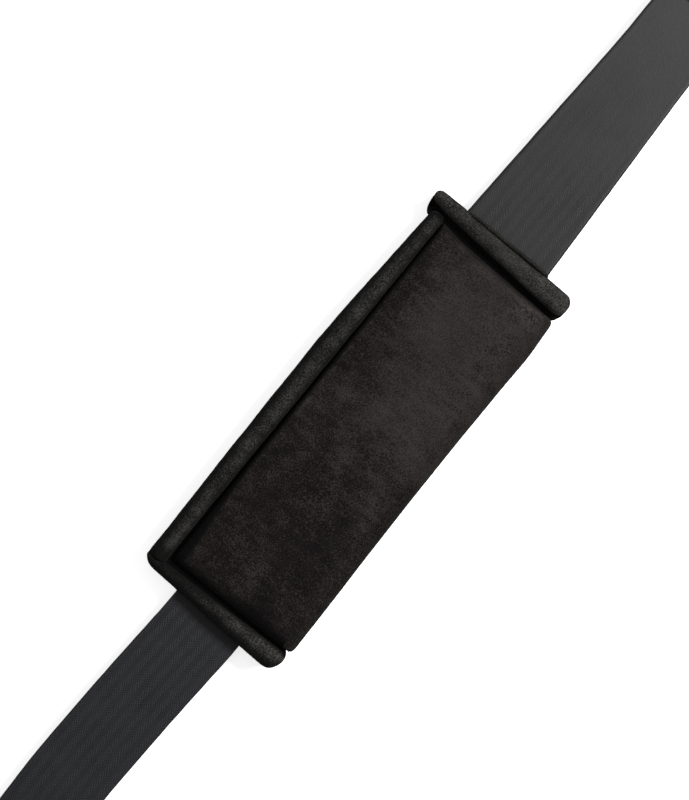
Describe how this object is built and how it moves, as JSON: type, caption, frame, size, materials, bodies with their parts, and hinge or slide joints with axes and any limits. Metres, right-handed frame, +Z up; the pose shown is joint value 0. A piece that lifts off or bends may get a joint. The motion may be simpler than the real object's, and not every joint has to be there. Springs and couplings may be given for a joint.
{
  "type": "instrument neck strap",
  "caption": "Flat woven neck strap for a saxophone, running through a padded plush sleeve, with a swivel snap hook at one end and a D ring with an adjuster at the other.",
  "frame": {"origin": "under the middle of the padded sleeve, on the surface that the strap lies on", "axes": "+X along the strap towards the D ring, +Y towards the sleeve's open edge, +Z up"},
  "size_m": [0.7135, 0.0834, 0.0191],
  "materials": {
    "plush_cover": "near-black short plush nap",
    "plush_edge": "grey-black short plush nap",
    "lining": "smooth knitted lining",
    "band": "charcoal woven webbing",
    "foam": "open-cell foam",
    "filler_cord": "braided cotton cord",
    "thread": "black bonded thread",
    "hook_tape": "nylon hook tape",
    "loop_tape": "nylon loop tape",
    "hardware": "dark nickel plate",
    "pin_steel": "bright steel",
    "spring_steel": "drawn spring steel"
  },
  "bodies": {
    "strap": {"webbing": "band", "fold_stitching": "thread"},
    "sleeve": {"back_cover": "plush_cover", "back_foam": "foam", "back_lining": "lining", "back_head_roll": "plush_cover", "back_foot_roll": "plush_cover", "back_side_roll": "plush_edge", "back_fillers": "filler_cord", "loop_tape": "loop_tape", "fold_strip": "plush_cover"},
    "flap": {"front_cover": "plush_cover", "front_foam": "foam", "front_lining": "lining", "front_head_roll": "plush_cover", "front_foot_roll": "plush_cover", "front_side_roll": "plush_edge", "front_fillers": "filler_cord", "hook_tape": "hook_tape"},
    "slider": {"adjuster": "hardware", "tail_wrap": "band", "tail_stitching": "thread"},
    "ring_end": {"top_run": "band", "ring_loop": "band", "tail_run": "band"},
    "ring": {"d_ring": "hardware"},
    "eye": {"swivel_eye": "hardware"},
    "hook": {"hook_body": "hardware", "gate_pin": "pin_steel", "gate_spring": "spring_steel"},
    "gate": {"gate": "hardware"}
  },
  "joints": [
    {"name": "sleeve_slide", "type": "slide", "parent": "strap", "child": "sleeve", "axis": [1, 0, 0], "range_m": [-0.12, 0.12]},
    {"name": "sleeve_open", "type": "hinge", "parent": "sleeve", "child": "flap", "pos_m": [0, -0.04175, 0.0088], "axis": [1, 0, 0], "range_deg": [0, 150], "deforming": ["fold_strip"]},
    {"name": "adjuster_slide", "type": "slide", "parent": "strap", "child": "slider", "axis": [1, 0, 0], "range_m": [0, 0.03], "deforming": ["tail_run", "top_run"]},
    {"name": "ring_end_slide", "type": "slide", "parent": "strap", "child": "ring_end", "axis": [1, 0, 0], "range_m": [0, 0.015], "deforming": ["tail_run", "top_run"]},
    {"name": "ring_pivot", "type": "hinge", "parent": "ring_end", "child": "ring", "pos_m": [0.33, 0, 0.0052], "axis": [0, 1, 0], "range_deg": [-110, 75]},
    {"name": "eye_pivot", "type": "hinge", "parent": "strap", "child": "eye", "pos_m": [-0.29, 0, 0.0057], "axis": [0, 1, 0], "range_deg": [-75, 75]},
    {"name": "hook_swivel", "type": "hinge", "parent": "eye", "child": "hook", "pos_m": [-0.3042, 0, 0.0057], "axis": [1, 0, 0], "continuous": true},
    {"name": "gate_swing", "type": "hinge", "parent": "hook", "child": "gate", "pos_m": [-0.3214, 0.01049, 0.0057], "axis": [0, 0, 1], "range_deg": [0, 35], "stiffness_Nm_per_rad": 0.03, "springref_deg": -22.92, "deforming": ["gate_spring"]}
  ],
  "couplings": [
    {"joint": "ring_end_slide", "follows": "adjuster_slide", "ratio": 0.5}
  ]
}
